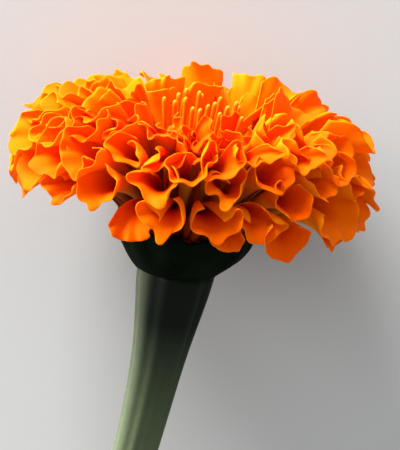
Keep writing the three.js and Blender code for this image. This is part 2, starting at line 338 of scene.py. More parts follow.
def dome_shares():
    """Running sum, from the top of the dome to its edge, of the share of florets that it holds."""
    shares = [0.0]
    for step in range(1, DOME_STEPS + 1):
        r0, z0 = dome_point(lerp(DOME_FIRST, DOME_LAST, (step - 1) / DOME_STEPS))
        r1, z1 = dome_point(lerp(DOME_FIRST, DOME_LAST, step / DOME_STEPS))
        area = math.pi * (r0 + r1) * math.hypot(r1 - r0, z1 - z0)
        spacing = lerp(1, SPACING_RATIO, (r0 + r1) / 2 / DOME_RADIUS)
        shares.append(shares[-1] + area / spacing**2)
    return np.array(shares) / shares[-1]


SHARES = dome_shares()


def polar_at(fraction):
    steps = np.interp(fraction, SHARES, np.arange(DOME_STEPS + 1))
    return lerp(DOME_FIRST, DOME_LAST, steps / DOME_STEPS)


def receptacle_z(radius):
    return RECEPTACLE_RIM_Z + RECEPTACLE_CROWN * (1 - (radius / RECEPTACLE_RADIUS) ** 2)


def skirt_rise(polar, azimuth):
    aside = (azimuth - SKIRT_RISE_AZIMUTH + math.pi) % (2 * math.pi) - math.pi
    share = rise(polar, SKIRT_RISE_FROM, DOME_LAST)
    return SKIRT_RISE * share * math.exp(-((aside / SKIRT_RISE_SPREAD) ** 2))


def floret_line(index, lift):
    """Foot, turn, mouth and length of a ray floret's middle line, and the direction across it."""
    fraction, right, back = place_of(index)
    polar = polar_at(fraction)
    foot_radius = RECEPTACLE_RADIUS * lerp(FOOT_SHARE, 1, math.sqrt(fraction)) - CLAW_RADIUS
    foot_z = receptacle_z(foot_radius) - FOOT_DEPTH
    mouth_radius, level_z = dome_point(polar)
    mouth_z = level_z + HEAD_LEAN * mouth_radius * right + skirt_rise(polar, index * GOLDEN_ANGLE)
    turn_radius = lerp(foot_radius, mouth_radius, TURN_SHARE)
    turn_z = max((foot_z + mouth_z) / 2, CLAW_RISE_Z)
    outward = np.array((right, back, 0))
    sideways = np.array((-back, right, 0))
    up = np.array((0, 0, 1))
    round_head, down = PUSHED_ASIDE.get(index, (0, 0))
    foot = outward * foot_radius + up * foot_z
    turn = outward * turn_radius + up * turn_z
    mouth = outward * mouth_radius + sideways * round_head + up * (mouth_z - down)
    heading = (mouth - turn) / np.linalg.norm(mouth - turn)
    mouth = mouth + heading * lift
    points = {"Foot": foot, "Turn": turn, "Mouth": mouth, "Sideways": sideways}
    length = line_length(foot, turn, mouth)
    return {name: tuple(point) for name, point in points.items()} | {"Length": length}


def line_length(foot, turn, mouth):
    t = np.linspace(0, 1, LINE_STEPS)[:, None]
    points = (1 - t) ** 2 * foot + 2 * (1 - t) * t * turn + t**2 * mouth
    return float(np.linalg.norm(np.diff(points, axis=0), axis=1).sum())


# ---- Meshes ----


def mesh_object(name, vertices, faces):
    mesh = bpy.data.meshes.new(name)
    mesh.from_pydata([tuple(v) for v in vertices], [], [tuple(f) for f in faces])
    mesh.update()
    piece = bpy.data.objects.new(name, mesh)
    bpy.context.collection.objects.link(piece)
    return piece


def coordinates(piece):
    flat = np.empty(len(piece.data.vertices) * 3)
    piece.data.vertices.foreach_get("co", flat)
    return flat.reshape(-1, 3)


def set_coordinates(piece, points):
    piece.data.vertices.foreach_set("co", points.ravel())
    piece.data.update()


def press(points):
    """Flattens what would reach below the surface that the flower lies on."""
    height = HEAD_CENTRE.z + points @ UPWARD + PRESS_DEPTH
    pressed = 0.5 * (height + np.hypot(height, PRESS_SOFTNESS))
    return points + np.outer(pressed - height, UPWARD)


def lay_down(points):
    turn = np.array(LAY_DOWN.to_3x3())
    return (points @ turn.T + np.array(LAY_DOWN.translation)) * MM


def join(name, parts):
    """One piece of several, which are removed."""
    whole = mesh_object(name, [], [])
    whole.data.materials.append(parts[0].data.materials[0])
    made = bmesh.new()
    for part in parts:
        spent = part.data
        made.from_mesh(spent)
        bpy.data.objects.remove(part)
        bpy.data.meshes.remove(spent)
    made.to_mesh(whole.data)
    made.free()
    return whole


def lathe(name, rings, sides, factor, loop=False):
    """A surface turned about z through (radius, z) rings.

    factor(angle, row) multiplies the radius there. A loop joins the last ring to the first; if it isn't
    one, each end gets a flat face.
    """
    vertices = []
    for row, (radius, z) in enumerate(rings):
        for side in range(sides):
            angle = 2 * math.pi * side / sides
            reach = radius * factor(angle, row)
            vertices.append((reach * math.cos(angle), reach * math.sin(angle), z))
    count = len(vertices)
    faces = []
    for row in range(len(rings) - (not loop)):
        for side in range(sides):
            a = row * sides + side
            b = row * sides + (side + 1) % sides
            faces.append((a, b, (b + sides) % count, (a + sides) % count))
    if not loop:
        faces += [reversed(range(sides)), range(count - sides, count)]
    return mesh_object(name, vertices, faces)


def running_mean(values, weights):
    return np.convolve(values, weights / weights.sum(), mode="valid")


def face_outwards(piece):
    """Merges points that coincide and turns every face outwards."""
    made = bmesh.new()
    made.from_mesh(piece.data)
    bmesh.ops.remove_doubles(made, verts=made.verts, dist=MERGE_DISTANCE)
    bmesh.ops.recalc_face_normals(made, faces=made.faces)
    made.to_mesh(piece.data)
    made.free()


def finished(piece, slot, *nodes):
    piece.data.polygons.foreach_set("use_smooth", [True] * len(piece.data.polygons))
    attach(piece, ROOT)
    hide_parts(*nodes)


# ---- Geometry node trees ----


class Nodes:
    """Adds nodes to a tree, with their inputs linked to a socket or set to a value."""

    def __init__(self, tree):
        self.nodes = tree.nodes
        self.links = tree.links

    def put(self, target, source):
        if isinstance(source, bpy.types.NodeSocket):
            self.links.new(source, target)
        else:
            target.default_value = source

    def node(self, kind, inputs=(), **settings):
        made = self.nodes.new(kind)
        for key, value in settings.items():
            setattr(made, key, value)
        for socket, source in dict(inputs).items():
            self.put(made.inputs[socket], source)
        return made

    def math(self, operation, *values, clamp=False):
        made = self.node("ShaderNodeMath", enumerate(values), operation=operation, use_clamp=clamp)
        return made.outputs[0]


class Tree(Nodes):
    """A geometry node tree with one geometry in, one out, and named inputs between them."""

    def __init__(self, name, inputs):
        self.tree = bpy.data.node_groups.new(name, "GeometryNodeTree")
        super().__init__(self.tree)
        self.socket("Geometry", "Geometry")
        self.identifiers = {label: self.socket(label, kind) for label, kind in inputs.items()}
        self.socket("Geometry", "Geometry", "OUTPUT")
        self.start = self.nodes.new("NodeGroupInput").outputs
        self.end = self.nodes.new("NodeGroupOutput").inputs

    def socket(self, label, kind, side="INPUT"):
        new = self.tree.interface.new_socket
        return new(label, in_out=side, socket_type=f"NodeSocket{kind}").identifier

    def vector(self, operation, *values):
        return self.node("ShaderNodeVectorMath", enumerate(values), operation=operation).outputs[0]

    def scaled(self, vector, factor):
        inputs = {0: vector, "Scale": factor}
        return self.node("ShaderNodeVectorMath", inputs, operation="SCALE").outputs[0]

    def finish(self, geometry, material):
        real = self.node("GeometryNodeRealizeInstances", {0: geometry})
        done = self.node("GeometryNodeSetMaterial", {0: real.outputs[0], "Material": material})
        self.put(self.end[0], done.outputs[0])
        return self


def applied(piece, tree, values):
    """Runs a tree on a piece with its inputs set by identifier, and keeps the result as a plain mesh."""
    modifier = piece.modifiers.new(tree.tree.name, "NODES")
    modifier.node_group = tree.tree
    for label, value in values.items():
        modifier[tree.identifiers[label]] = value
    graph = bpy.context.evaluated_depsgraph_get()
    mesh = bpy.data.meshes.new_from_object(piece.evaluated_get(graph))
    piece.modifiers.clear()
    spent = piece.data
    piece.data = mesh
    bpy.data.meshes.remove(spent)


def follow_tree():
    """Bends a shape that stands on +Y along a bow from Foot through Turn to Mouth."""
    tree = Tree(
        "Follow a bow",
        {
            "Foot": "Vector", "Turn": "Vector", "Mouth": "Vector", "Sideways": "Vector",
            "Length": "Float", "Finish": "Material",
        },
    )
    socket = tree.start
    place = tree.node("GeometryNodeInputPosition").outputs[0]
    x, y, z = tree.node("ShaderNodeSeparateXYZ", {0: place}).outputs
    share = tree.math("DIVIDE", y, socket["Length"], clamp=True)
    beyond = tree.math("SUBTRACT", y, tree.math("MULTIPLY", share, socket["Length"]))

    def between(low, high):
        step = tree.scaled(tree.vector("SUBTRACT", high, low), share)
        return tree.vector("ADD", low, step)

    first = between(socket["Foot"], socket["Turn"])
    second = between(socket["Turn"], socket["Mouth"])
    point = between(first, second)
    heading = tree.vector("NORMALIZE", tree.vector("SUBTRACT", second, first))
    outward = tree.vector("CROSS_PRODUCT", socket["Sideways"], heading)
    across = tree.scaled(socket["Sideways"], tree.math("MULTIPLY", x, -1.0))
    above = tree.scaled(outward, tree.math("MULTIPLY", z, -1.0))
    centre = tree.vector("ADD", point, tree.scaled(heading, beyond))
    moved = tree.vector("ADD", centre, tree.vector("ADD", across, above))
    bent = tree.node("GeometryNodeSetPosition", {"Geometry": socket["Geometry"], "Position": moved})
    return tree.finish(bent.outputs[0], socket["Finish"])


def tuft_tree():
    """Stands copies of the incoming tube in a golden spiral that leans outwards."""
    tree = Tree(
        "Disc tuft",
        {
            "Count": "Int", "Radius": "Float", "Foot Height": "Float", "Lean": "Float",
            "Uneven": "Float", "Seed": "Int", "Finish": "Material",
        },
    )
    socket = tree.start
    line = tree.node("GeometryNodeMeshLine", {"Count": socket["Count"]})
    index = tree.node("GeometryNodeInputIndex").outputs[0]
    share = tree.math("SQRT", tree.math("DIVIDE", tree.math("ADD", index, 0.5), socket["Count"]))
    angle = tree.math("MULTIPLY", index, GOLDEN_ANGLE)
    reach = tree.math("MULTIPLY", share, socket["Radius"])
    x = tree.math("MULTIPLY", reach, tree.math("COSINE", angle))
    y = tree.math("MULTIPLY", reach, tree.math("SINE", angle))
    place = tree.node("ShaderNodeCombineXYZ", {0: x, 1: y, 2: socket["Foot Height"]}).outputs[0]
    points = tree.node("GeometryNodeSetPosition", {"Geometry": line.outputs[0], "Position": place})
    lean = tree.math("MULTIPLY", share, socket["Lean"])
    tilt = tree.node("ShaderNodeCombineXYZ", {1: lean, 2: angle}).outputs[0]
    low = tree.math("SUBTRACT", 1.0, socket["Uneven"])
    spread = {2: low, 3: 1.0, "Seed": socket["Seed"]}
    size = tree.node("FunctionNodeRandomValue", spread, data_type="FLOAT")
    tubes = {"Points": points.outputs[0], "Instance": socket["Geometry"]}
    placed = tubes | {"Rotation": tilt, "Scale": size.outputs[1]}
    copies = tree.node("GeometryNodeInstanceOnPoints", placed)
    return tree.finish(copies.outputs[0], socket["Finish"])


# ---- Materials ----

# Where the colours of a piece stand along it.
FACE_STOPS = (0.0, 0.52, 0.82, 0.988, 0.998)
BACK_STOPS = (0.38, 0.66, 0.988, 0.998)
DISC_STOPS = (0.0, 0.6, 0.85, 0.96, 1.0)
CUP_STOPS = (0.35, 0.75)
STEM_STOPS = (0.52, 0.88)

PETAL_GLOSS = {"Specular Tint": (1, 0.3, 0.01, 1)}
# Painted light with random tone: the tint lifts the value and yellows the hue of petals where the light
# falls.
PETAL_VALUES = (0.97, 1.06)
PETAL_HUES = (0.488, 0.514)  # 0.5 leaves the hue as it is
VEIN_SCALE = (70, 2.5, 1)  # across the sheet, then along it
TRANSLUCENCY = 0.3
PAINTED_THROAT_SHADE = 0.4  # painted shade at the foot of the tube: this share of the throat's colour
MOTTLE = 0.1

CUP_BLOOM = 2.5  # times the cup's colour
STEM_LIT = 1.5  # times the stem's colour, on its ridges
RIDGE_LIGHT, RIDGE_FADING = 0.32, -0.42  # at the cut end, then per length of the stem
SIDE_LIGHT, SIDE_FADING = 0.85, -0.5
STEM_SPECKS = 0.35
INSIDE_FROM, INSIDE_SHARPNESS = 1.05, 20.0  # of the receptacle's colour, past the stem's top
PITH = ((0.42, 0.5, 0.24), (0.6, 0.64, 0.42))
STEM_SHEEN = {"Sheen Weight": 0.2, "Sheen Roughness": 0.3, "Sheen Tint": (0.62, 0.75, 0.5, 1)}
SURFACE_SHADE = 0.965  # of the surface's colour


class Finish(Nodes):
    """A material whose nodes end in one Principled shader."""

    def __init__(self, name):
        self.material = bpy.data.materials.new(name)
        self.material.use_nodes = True
        super().__init__(self.material.node_tree)
        self.shader = self.nodes["Principled BSDF"]
        self.output = self.nodes["Material Output"].inputs[0]

    def zone(self):
        """The three shares that a piece carries as its own attribute, and a fourth one."""
        zone = self.node("ShaderNodeAttribute", attribute_name="zone").outputs
        return *self.node("ShaderNodeSeparateColor", {0: zone["Color"]}).outputs, zone["Alpha"]

    def ramp(self, factor, places, colours):
        made = self.node("ShaderNodeValToRGB", {0: factor})
        elements = made.color_ramp.elements
        while len(elements) < len(places):
            elements.new(0.5)
        for element, place, colour in zip(elements, places, colours):
            element.position = place
            element.color = (*colour, 1)
        return made.outputs[0]

    def mix(self, factor, first, second):
        inputs = {0: factor, 6: first, 7: second}
        for socket in (6, 7):
            if not isinstance(inputs[socket], bpy.types.NodeSocket):
                inputs[socket] = (*inputs[socket], 1)
        return self.node("ShaderNodeMix", inputs, data_type="RGBA").outputs[2]

    def between(self, share, ends):
        return self.node("ShaderNodeMapRange", {0: share, 3: ends[0], 4: ends[1]}).outputs[0]

    def noise(self, scale, detail, vector=None):
        vector = vector or self.node("ShaderNodeTexCoord").outputs["Object"]
        inputs = {"Vector": vector, "Scale": scale, "Detail": detail}
        return self.node("ShaderNodeTexNoise", inputs).outputs[0]

    def bump(self, height, strength, distance):
        inputs = {"Height": height, "Strength": strength, "Distance": distance}
        self.put(self.shader.inputs["Normal"], self.node("ShaderNodeBump", inputs).outputs[0])

    def surface(self, colour, roughness, specular, others=()):
        inputs = {"Base Color": colour, "Roughness": roughness, "Specular IOR Level": specular}
        for name, value in (inputs | dict(others)).items():
            self.put(self.shader.inputs[name], value)


def times(factor, colour):
    return tuple(min(1, factor * channel) for channel in colour)


def petal_finish(colours):
    finish = Finish("petal skin")
    along, back, lit_and_random_tint, youth = finish.zone()
    throat, face, rim = colours.throat, colours.petal_face, colours.petal_rim
    # Inside, painted shade darkens the petal towards the foot of its tube; the throat's deep red is
    # partly the petal's own colour, partly painted shade.
    inner = finish.ramp(along, FACE_STOPS, (times(PAINTED_THROAT_SHADE, throat), throat, face, face, rim))
    # Outside, painted shade darkens the tube towards its foot, between the florets.
    outer = finish.ramp(along, BACK_STOPS, (colours.claw, colours.petal_back, colours.petal_back, rim))
    young = finish.math("MULTIPLY", youth, finish.math("SUBTRACT", 1.0, along))
    colour = finish.mix(young, finish.mix(back, inner, outer), face)
    mottle = finish.math("MULTIPLY", finish.noise(scale=180, detail=2), MOTTLE)
    # Painted light and random tone shift the hue and value by the tint.
    shift = {"Hue": finish.between(lit_and_random_tint, PETAL_HUES), "Value": finish.between(lit_and_random_tint, PETAL_VALUES)}
    shift["Color"] = finish.mix(mottle, colour, rim)
    shade = finish.node("ShaderNodeHueSaturation", shift).outputs[0]
    sheet = finish.node("ShaderNodeUVMap", uv_map="sheet").outputs[0]
    stretched = finish.node("ShaderNodeMapping", {"Vector": sheet, "Scale": VEIN_SCALE}).outputs[0]
    veins = finish.noise(scale=1, detail=2, vector=stretched)
    finish.bump(veins, strength=0.45, distance=0.12 * MM)
    finish.surface(shade, roughness=0.65, specular=0.16, others=PETAL_GLOSS)
    through = finish.node("ShaderNodeBsdfTranslucent", {"Color": shade}).outputs[0]
    skin = {0: TRANSLUCENCY, 1: finish.shader.outputs[0], 2: through}
    finish.put(finish.output, finish.node("ShaderNodeMixShader", skin).outputs[0])
    return finish.material


def disc_finish(colours):
    finish = Finish("disc floret skin")
    along = finish.zone()[0]
    body = colours.disc
    # Painted shade: each tube darkens through the claw and throat colours towards its foot, between the
    # tubes.
    colour = finish.ramp(along, DISC_STOPS, (colours.claw, colours.throat, body, body, colours.disc_tip))
    finish.bump(finish.noise(scale=900, detail=3), strength=0.3, distance=0.15 * MM)
    finish.surface(colour, roughness=0.5, specular=0.12, others=PETAL_GLOSS)
    return finish.material


def cup_finish(colours):
    finish = Finish("cup skin")
    # Painted shade: the cup is near black for the shade under the head.
    green = colours.cup_shade_green
    colour = finish.ramp(finish.noise(scale=260, detail=4), CUP_STOPS, (green, times(CUP_BLOOM, green)))
    finish.bump(finish.noise(scale=1400, detail=3), strength=0.35, distance=0.2 * MM)
    finish.surface(colour, roughness=0.75, specular=0.02)
    return finish.material


def stem_finish(colours):
    finish = Finish("stem skin")
    along, ridge, cut, side = finish.zone()
    green, dark = colours.stem_green, colours.stem_shade_and_specks
    # Painted shade: the stem darkens towards the head, in the shade under it.
    colour = finish.ramp(along, STEM_STOPS, (green, dark))
    fading = finish.math("MULTIPLY_ADD", along, RIDGE_FADING, RIDGE_LIGHT)
    lit = finish.math("MULTIPLY", ridge, fading, clamp=True)
    colour = finish.mix(lit, colour, times(STEM_LIT, green))
    # Painted light: the side towards the lamps is paler, fading towards the head.
    faded = finish.math("MULTIPLY", side, finish.math("MULTIPLY_ADD", along, SIDE_FADING, SIDE_LIGHT))
    colour = finish.mix(faded, colour, colours.stem_lit_side)
    specks = finish.math("MULTIPLY", finish.noise(scale=420, detail=4), STEM_SPECKS)
    # The small specks take the same dark colour.
    colour = finish.mix(specks, colour, dark)
    past = finish.math("SUBTRACT", along, INSIDE_FROM)
    inside = finish.math("MULTIPLY", past, INSIDE_SHARPNESS, clamp=True)
    colour = finish.mix(inside, colour, colours.receptacle)
    colour = finish.mix(cut, colour, finish.mix(finish.noise(scale=900, detail=2), *PITH))
    finish.bump(finish.noise(scale=1500, detail=4), strength=0.3, distance=0.2 * MM)
    finish.surface(colour, roughness=0.65, specular=0.1, others=STEM_SHEEN)
    return finish.material


def surface_finish(colours):
    finish = Finish("pale surface")
    pale = colours.surface
    colour = finish.mix(finish.noise(scale=14, detail=5), pale, times(SURFACE_SHADE, pale))
    finish.bump(finish.noise(scale=900, detail=2), strength=0.05, distance=0.2 * MM)
    finish.surface(colour, roughness=0.8, specular=0.2)
    return finish.material


def material(name, make, colours):
    return bpy.data.materials.get(name) or make(colours)


def set_zone(piece, values):
    """Stores up to four shares per vertex, which the finishes read, as the piece's own attribute."""
    zone = piece.data.attributes.new("zone", "FLOAT_COLOR", "POINT")
    colour = np.ones((len(piece.data.vertices), 4))
    colour[:, : values.shape[1]] = values
    zone.data.foreach_set("color", colour.ravel())


# ---- Ray florets ----


def wave(across, count, rng):
    """An uneven wave with about this many crests across the sheet, between -1 and 1."""
    total = np.zeros_like(across)
    for pace, size in WAVE_PARTS:
        total += size * np.cos(math.pi * pace * count * across + rng.uniform(0, 2 * math.pi))
    return total


def petal_sheet(shape, rng):
    """The middle surface of a rolled petal that stands on +Y, as points by column and row.

    The petal is a narrow tube that opens like a horn. Its section is a curve whose heading is summed up
    point by point, so the sheet keeps its width while it rolls, flutes and curls at its edges.
    """
    across = np.linspace(-1, 1, PETAL_COLUMNS)
    along = 1 - (1 - np.linspace(0, 1, PETAL_ROWS)) ** ROW_CROWDING
    a, v = np.meshgrid(across, along, indexing="ij")
    start = shape["bell_start"]
    open_share = np.clip((v - start) / (1 - start), 0, 1)

    # Lobes of the edge: where a column is longer, its whole end lies further out.
    edge = rise(np.abs(a), SIDE_EDGE, 1)
    lobe = wave(a, shape["lobes"], rng)
    q = open_share * (1 - shape["corner"] * edge**2 + shape["scallop"] * lobe)

    claw_half = math.pi * shape["claw"]
    half = claw_half + (shape["limb"] - claw_half) * q ** shape["flare"]
    turn = lerp(SLIT_TURN, shape["turn"] / 2, rise(q, 0, TURNED_AT))
    curl = np.where(a > 0, shape["curl_right"], shape["curl_left"])
    heading = turn * a + np.sign(a) * curl * edge * rise(q, 0, CURLED_AT)
    heading += shape["flute"] * wave(a, shape["flutes"], rng) * q ** shape["fold"]
    heading += shape["frill"] * wave(a, shape["frills"], rng) * q**FRILL_POWER

    def summed(slope):
        steps = np.diff(across)[:, None] * (slope[1:] + slope[:-1]) / 2
        return np.vstack([np.zeros(PETAL_ROWS), np.cumsum(steps, axis=0)])

    x = summed(half * np.cos(heading))
    z = summed(half * np.sin(heading))
    middle = PETAL_COLUMNS // 2
    x = x - x[middle]
    z = z - z[middle] - (half / turn)[middle]

    # Along it, the lower lip spreads and turns back, and the side edges stay more upright.
    lower = 0.5 + 0.5 * np.cos(math.pi * a)
    back = lerp(shape["upper_back"], shape["lip_back"], lower)
    bell = shape["length"] * (1 - start)
    y = shape["length"] * np.minimum(v, start) + bell * ((1 + back) * q - back * q**2)
    y = y - shape["tilt"] * np.cos(math.pi * a) * q**2
    y = y + shape["ripple"] * wave(a, shape["frills"], rng) * q**RIPPLE_POWER
    z = z - shape["droop"] * q**2
    cosine, sine = math.cos(shape["roll"]), math.sin(shape["roll"])
    x, z = x * cosine + z * sine, z * cosine - x * sine
    return np.stack([x + shape["sway"] * q**2, y, z], axis=-1), v


def petal_mesh(name, points, along, thickness, lit_and_random_tint, young):
    """Gives a sheet its thickness as one closed shell, thinner at its free edge."""
    columns, rows = points.shape[:2]
    normal = np.cross(np.gradient(points, axis=1), np.gradient(points, axis=0))
    normal /= np.maximum(np.linalg.norm(normal, axis=-1, keepdims=True), TINY)
    a = np.abs(np.linspace(-1, 1, columns))[:, None]
    free = np.maximum(rise(along, THIN_FROM, 1), rise(a, THIN_FROM, 1) * rise(along, *THIN_SIDES))
    depth = (thickness * lerp(1, EDGE_THICKNESS, free) / 2)[..., None]
    count = columns * rows
    vertices = np.concatenate([(points + side * normal * depth).reshape(-1, 3) for side in (1, -1)])
    grid = np.arange(count).reshape(columns, rows)
    outer = np.stack([grid[:-1, :-1], grid[:-1, 1:], grid[1:, 1:], grid[1:, :-1]], axis=-1)
    outer = outer.reshape(-1, 4)
    inner = outer[:, [0, 3, 2, 1]] + count
    border = np.concatenate([grid[:-1, 0], grid[-1, :-1], grid[:0:-1, -1], grid[0, :0:-1]])
    after = np.roll(border, -1)
    edge = np.stack([border, after, after + count, border + count], axis=-1)
    piece = mesh_object(name, vertices, np.concatenate([outer, inner, edge]).tolist())

    # Shares: how near the rim, whether it is the outer side, the tint of painted light and random tone,
    # and the floret's youth.
    zone = np.zeros((2 * count, 4))
    rim = np.maximum(along, rise(a, RIM_FROM, 1) * rise(along, *RIM_SIDES))
    zone[:, 0] = np.tile(rim.ravel(), 2)
    zone[:count, 1] = 1
    zone[:, 2] = lit_and_random_tint
    zone[:, 3] = young
    set_zone(piece, zone)
    layer = piece.data.uv_layers.new(name="sheet")
    share = np.stack([np.repeat(np.linspace(0, 1, columns), rows), along.ravel()], axis=-1)
    corners = np.empty(len(piece.data.loops), dtype=np.int64)
    piece.data.loops.foreach_get("vertex_index", corners)
    layer.data.foreach_set("uv", share[corners % count].ravel())
    return piece


def characters(index):
    """How far a floret has each character that comes with its place in the head, from 0 to 1."""
    fraction, right, back = place_of(index)
    inner = 1 - rise(fraction, *OUTER_SPAN)
    forwards = rise(-back, *FRONT_SPAN)
    behind = inner * rise(back, *BACK_SPAN)
    beside = smooth(BACK_CALM * (1 + back) * rise(fraction, *BESIDE_SPAN))
    right_inside = inner * rise(right, *RIGHT_SPAN)
    return {
        "front": (1 - inner) * forwards,
        "front_inside": inner * forwards,
        "behind": behind,
        "curly": inner * (1 - behind) * rise(-right, *LEFT_SPAN),
        "calm": max(beside, behind, RIGHT_CALM * right_inside),
        "young": 1 - rise(fraction, *YOUNG_SPAN),
    }


def floret_shape(index, sizes, rng):
    """Measures of one floret, from its place in the head and a seeded spread."""
    fraction = place_of(index)[0]
    character = characters(index)
    grown = rise(fraction, *GROWTH_SPAN)
    size = lerp(*SIZE, grown)
    curls = rng.permutation([rng.uniform(*spread) for spread in CURLS])
    shape = {measure: rng.uniform(*spread) for measure, spread in SPREAD.items()}
    shape["limb"] *= size * sizes.petal_width / MM / 2
    shape["ripple"] *= size
    shape["droop"] *= size
    shape["roll"] *= lerp(*ROLL, 1 - character["young"])
    shape["curl_left"], shape["curl_right"] = curls
    shape["claw"] = lerp(*CLAW, fraction)
    shape["bell_start"] = lerp(*BELL_START, grown)
    shape["tilt"] = size * lerp(*TILT, rise(fraction, *TILT_SPAN))
    shape["fold"] = FOLD
    shape["sway"] = 0.0
    for name, strength in character.items():
        for measure, factor in FACTORS.get(name, {}).items():
            shape[measure] *= lerp(1, factor, strength)
        for measure, term in TERMS.get(name, {}).items():
            shape[measure] += term * strength
    shape["turn"] *= math.pi
    return shape | SET_APART.get(index, {})


def ray_floret(name, index, scene, follow):
    sizes = scene.marigold_sizes
    rng = np.random.default_rng(FIRST_SEED + index)
    shape = floret_shape(index, sizes, rng)
    fraction, right, back = place_of(index)
    reach = lerp(*REACH, rise(fraction, *REACH_SPAN)) - REACH_ASIDE * right
    reach += rng.uniform(-REACH_SPREAD, REACH_SPREAD)
    line = floret_line(index, reach)
    shape["length"] = line["Length"] + shape["over"]
    points, along = petal_sheet(shape, rng)
    young = YOUNG_FACE * (1 - rise(fraction, *THROAT_SPAN))
    # Painted light: petals on the back of the head, where the light falls, are a yellower and lighter
    # orange than those in front; a random spread of tone is added.
    lit_and_random_tint = lerp(*PAINTED_LIGHT_TINT, smooth(PAINTED_LIGHT_LEVEL + PAINTED_LIGHT_BACK * back + PAINTED_LIGHT_RIGHT * right))
    lit_and_random_tint += rng.uniform(-TINT_SPREAD, TINT_SPREAD)
    piece = petal_mesh(name, points, along, sizes.petal_thickness / MM, lit_and_random_tint, young)
    finish = material("petal skin", petal_finish, scene.marigold_colours)
    applied(piece, follow, line | {"Finish": finish})
    set_coordinates(piece, lay_down(press(coordinates(piece))))
    return piece


# ---- Settings ----


def length_property(name, description, default):
    return bpy.props.FloatProperty(
        name=name, description=description, default=default, min=0, unit="LENGTH", precision=5
    )


def colour_property(name, description, default):
    return bpy.props.FloatVectorProperty(
        name=name, description=description, default=default, size=3, min=0, max=1, subtype="COLOR"
    )


class MarigoldSizes(bpy.types.PropertyGroup):
    petal_width: length_property("Petal Width", "Width of an outer petal's edge, unrolled", 22.5 * MM)
    petal_thickness: length_property("Petal Thickness", "Thickness of a petal", 0.3 * MM)
    tube_radius: length_property("Disc Tube Radius", "Radius of a disc floret's tube", 0.4 * MM)
    rib_height: length_property("Rib Height", "How far the ribs of the cup stand out", 0.22 * MM)
    ridge_depth: bpy.props.FloatProperty(
        name="Ridge Depth", description="Depth of the stem's grooves, as a share of its radius",
        default=0.03, min=0, max=0.3, subtype="FACTOR",
    )


class MarigoldColours(bpy.types.PropertyGroup):
    petal_face: colour_property("Petal Face", "Inner face of the petals", (0.97, 0.155, 0.0))
    petal_back: colour_property("Petal Back", "Outer face of the petals", (0.98, 0.28, 0.003))
    petal_rim: colour_property("Petal Rim", "Edge of the petals", (1.0, 0.25, 0.002))
    # The throat's darkness is partly painted shade inside the tube.
    throat: colour_property("Throat", "Deep inside the petal tubes", (0.62, 0.008, 0.0))
    # Painted shade: the dark red-brown claw stands for the shade deep between the florets.
    claw: colour_property("Claw", "Foot of the petal tubes", (0.2, 0.01, 0.0))
    disc: colour_property("Disc", "Tubes of the disc florets", (0.85, 0.13, 0.001))
    disc_tip: colour_property("Disc Tip", "Tips of the disc florets", (1.0, 0.3, 0.02))
    # Painted shade: near black for the shade under the head.
    cup_shade_green: colour_property("Cup", "The cup of bracts", (0.0012, 0.0026, 0.001))
    stem_green: colour_property("Stem", "The lower stem", (0.1, 0.13, 0.065))
    # Painted light on the side towards the lamps.
    stem_lit_side: colour_property("Stem Side", "The paler side of the stem", (0.24, 0.28, 0.17))
    # Painted shade under the head; the stem's specks take it too.
    stem_shade_and_specks: colour_property("Stem Top", "The stem under the head", (0.0025, 0.0045, 0.0025))
    receptacle: colour_property("Receptacle", "What the florets stand on", (0.3, 0.055, 0.002))
    surface: colour_property("Surface", "What the flower lies on", (0.43, 0.43, 0.42))


# ---- Operators ----


class MARIGOLD_OT_ray_florets(bpy.types.Operator):
    """Builds the outer ray florets, one piece for each node of the frame"""

    bl_idname = "marigold.ray_florets"
    bl_label = "Outer Ray Florets"

    def execute(self, context):
        follow = follow_tree()
        for index in range(INNER_COUNT, RAY_COUNT):
            number = f"{index - INNER_COUNT + 1:02d}"
            piece = ray_floret(f"outer_petal_{number}", index, context.scene, follow)
            finished(piece, "petal", f"ray_floret_{number}")
        return {"FINISHED"}


class MARIGOLD_OT_inner_florets(bpy.types.Operator):
    """Builds the inner ray florets in rings of a few each"""

    bl_idname = "marigold.inner_florets"
    bl_label = "Inner Ray Florets"

    def execute(self, context):
        follow = follow_tree()
        for ring, indices in enumerate(np.array_split(range(INNER_COUNT), INNER_RINGS)):
            parts = [ray_floret(f"part_{i}", int(i), context.scene, follow) for i in indices]
            finished(join(f"inner_petals_{ring + 1}", parts), "inner_petal", "flower_centre")
        return {"FINISHED"}


class MARIGOLD_OT_disc_florets(bpy.types.Operator):
    """Builds the tuft of slim tubes in the middle of the head"""

    bl_idname = "marigold.disc_florets"
    bl_label = "Disc Florets"

    def execute(self, context):
        scene = context.scene
        radius = scene.marigold_sizes.tube_radius / MM
        foot_z = receptacle_z(0) - FOOT_DEPTH
        height = DISC_TIP_Z - foot_z
        rings = [(width * radius, share * height) for width, share in DISC_TUBE]

        def lobes(angle, row):
            depth = DISC_LOBE_DEPTH if row >= DISC_LOBED_FROM else 0
            return 1 + depth * math.cos(DISC_LOBES * angle)

        tuft = lathe("disc_florets", rings, DISC_SIDES, lobes)
        share = np.repeat([share for _, share in DISC_TUBE], DISC_SIDES)
        set_zone(tuft, np.stack([share, share * 0, share * 0], axis=-1))
        values = {
            "Count": DISC_COUNT, "Radius": DISC_FOOT_RADIUS, "Foot Height": foot_z,
            "Lean": DISC_LEAN, "Uneven": DISC_UNEVEN, "Seed": DISC_SEED,
            "Finish": material("disc floret skin", disc_finish, scene.marigold_colours),
        }
        applied(tuft, tuft_tree(), values)
        set_coordinates(tuft, lay_down(coordinates(tuft)))
        finished(tuft, "inner_petal", "flower_centre")
        return {"FINISHED"}


